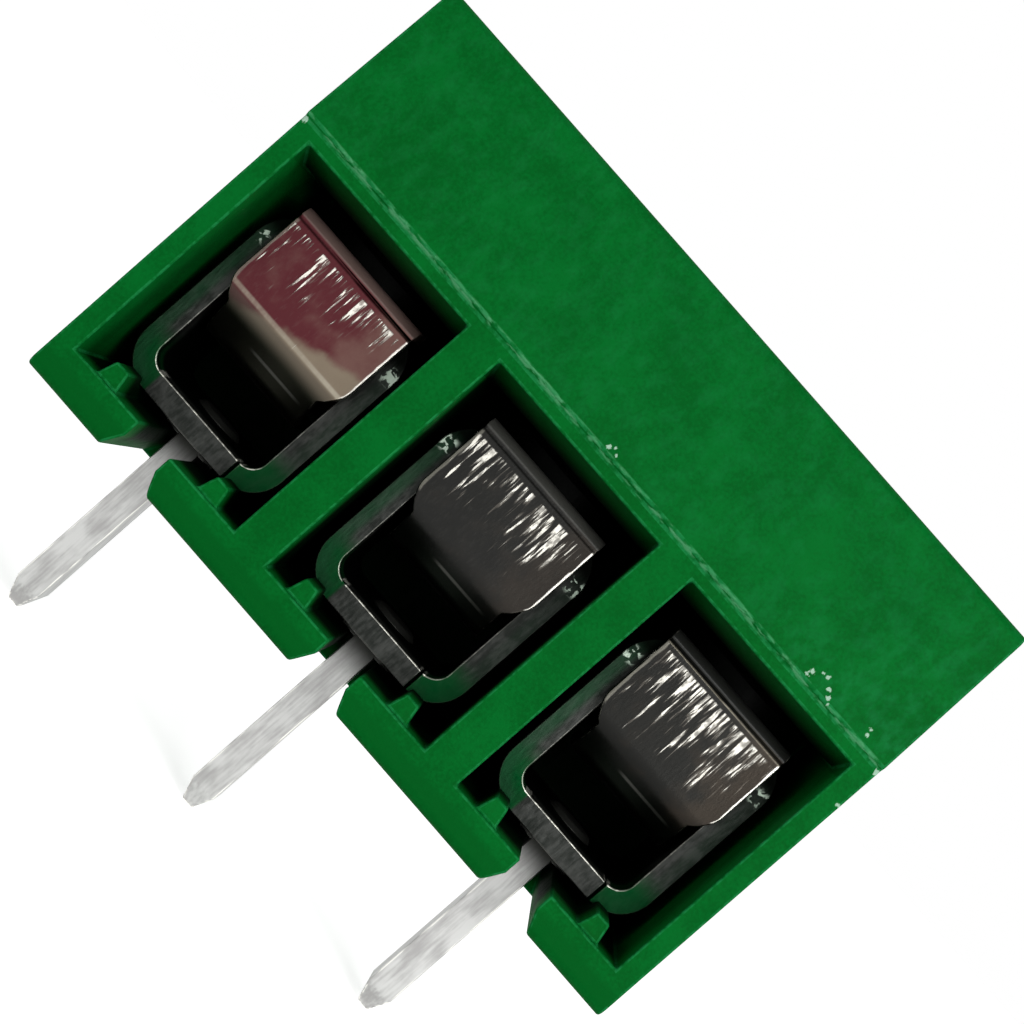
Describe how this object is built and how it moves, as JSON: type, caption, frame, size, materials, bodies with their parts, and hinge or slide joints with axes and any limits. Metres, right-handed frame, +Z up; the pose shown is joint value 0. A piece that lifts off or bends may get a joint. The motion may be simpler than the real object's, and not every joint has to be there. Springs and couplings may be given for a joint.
{
  "type": "pcb screw terminal",
  "caption": "Low green screw terminal for circuit boards with box clamps, sprung wire guards and solder pins in a moulded housing.",
  "frame": {"origin": "centre of the housing's underside, on the board and on the middle screw's axis", "axes": "+X along the row of poles, -Y towards the side where wires go in, +Z up, away from the board"},
  "size_m": [0.0156, 0.0082, 0.0137],
  "materials": {
    "green_nylon": "moulded, matt, lightly scuffed",
    "plated_steel": "dull plated strip",
    "spring_steel": "dark spring strip with bright scratches",
    "zinc_steel": "bright zinc",
    "tinned_brass": "tinned"
  },
  "bodies": {
    "housing": {"housing": "green_nylon", "clamp_frame_1": "plated_steel", "clamp_frame_2": "plated_steel", "clamp_frame_3": "plated_steel", "solder_pin_1": "tinned_brass", "solder_pin_2": "tinned_brass", "solder_pin_3": "tinned_brass"},
    "wire_guard_1": {"wire_guard_1": "spring_steel"},
    "wire_guard_2": {"wire_guard_2": "spring_steel"},
    "wire_guard_3": {"wire_guard_3": "spring_steel"},
    "clamp_screw_1": {"clamp_screw_1": "zinc_steel"},
    "clamp_screw_2": {"clamp_screw_2": "zinc_steel"},
    "clamp_screw_3": {"clamp_screw_3": "zinc_steel"}
  },
  "joints": [
    {"name": "wire_guard_1_press", "type": "slide", "parent": "housing", "child": "wire_guard_1", "axis": [0, 0, 1], "range_m": [-0.00095, 0.00072], "deforming": ["wire_guard_1"]},
    {"name": "clamp_screw_1_turn", "type": "hinge", "parent": "wire_guard_1", "child": "clamp_screw_1", "pos_m": [-0.00508, 0, 0.006], "axis": [0, 0, 1], "range_deg": [-765, 580]},
    {"name": "wire_guard_2_press", "type": "slide", "parent": "housing", "child": "wire_guard_2", "axis": [0, 0, 1], "range_m": [-0.00095, 0.00072], "deforming": ["wire_guard_2"]},
    {"name": "clamp_screw_2_turn", "type": "hinge", "parent": "wire_guard_2", "child": "clamp_screw_2", "pos_m": [0, 0, 0.006], "axis": [0, 0, 1], "range_deg": [-765, 580]},
    {"name": "wire_guard_3_press", "type": "slide", "parent": "housing", "child": "wire_guard_3", "axis": [0, 0, 1], "range_m": [-0.00095, 0.00072], "deforming": ["wire_guard_3"]},
    {"name": "clamp_screw_3_turn", "type": "hinge", "parent": "wire_guard_3", "child": "clamp_screw_3", "pos_m": [0.00508, 0, 0.006], "axis": [0, 0, 1], "range_deg": [-765, 580]}
  ],
  "couplings": [
    {"joint": "clamp_screw_1_turn", "follows": "wire_guard_1_press", "rad_per_m": 13963},
    {"joint": "clamp_screw_2_turn", "follows": "wire_guard_2_press", "rad_per_m": 13963},
    {"joint": "clamp_screw_3_turn", "follows": "wire_guard_3_press", "rad_per_m": 13963}
  ]
}
